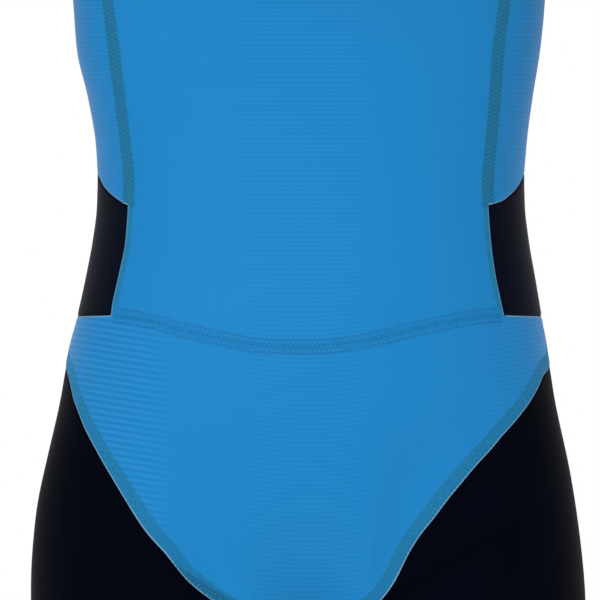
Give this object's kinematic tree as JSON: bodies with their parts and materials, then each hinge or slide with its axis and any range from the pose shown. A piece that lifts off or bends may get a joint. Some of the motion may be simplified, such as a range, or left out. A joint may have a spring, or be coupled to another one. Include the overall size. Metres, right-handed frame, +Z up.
{
  "type": "wetsuit",
  "caption": "Long-sleeved, full-length wetsuit in panelled foam rubber with raglan sleeves, a stand collar and a centre back zip, filled out and empty.",
  "frame": {"origin": "between the wearer's shoulders, at the height of the shoulder line, on the middle of the body", "axes": "+Z up along the body, +Y towards the back, +X towards the wearer's left"},
  "size_m": [0.9938, 0.2558, 1.3607],
  "materials": {
    "front_centre": "blue knit laminated to foam rubber, fine cross ribs, satin",
    "hip_front": "blue knit laminated to foam rubber, fine cross ribs, satin",
    "side_upper_left": "blue knit laminated to foam rubber, fine cross ribs, satin",
    "side_upper_right": "blue knit laminated to foam rubber, fine cross ribs, satin",
    "waist_insert_left": "black knit laminated to foam rubber, matt",
    "waist_insert_right": "black knit laminated to foam rubber, matt",
    "back_left": "black knit laminated to foam rubber, matt",
    "back_right": "black knit laminated to foam rubber, matt",
    "leg_left": "black knit laminated to foam rubber, matt",
    "leg_right": "black knit laminated to foam rubber, matt",
    "sleeve_left": "black knit laminated to foam rubber, matt",
    "sleeve_right": "black knit laminated to foam rubber, matt",
    "collar": "black knit laminated to foam rubber, matt",
    "zip_tape": "black woven tape",
    "zip_chain": "black moulded teeth",
    "zip_slider": "dark gunmetal, satin",
    "zip_pull": "dark gunmetal, satin"
  },
  "bodies": {
    "suit": {"front_centre": "front_centre", "hip_front": "hip_front", "side_upper_left": "side_upper_left", "side_upper_right": "side_upper_right", "waist_insert_left": "waist_insert_left", "waist_insert_right": "waist_insert_right", "back_left": "back_left", "back_right": "back_right", "leg_left": "leg_left", "leg_right": "leg_right", "sleeve_left": "sleeve_left", "sleeve_right": "sleeve_right", "collar": "collar", "zip_tape": "zip_tape", "zip_chain": "zip_chain", "zip_slider": "zip_slider"},
    "pull": {"zip_pull": "zip_pull"}
  },
  "joints": [
    {"name": "pull_hinge", "type": "hinge", "parent": "suit", "child": "pull", "pos_m": [0, 0.0669, 0.0754], "axis": [1, 0, 0], "range_deg": [0, 150]}
  ]
}
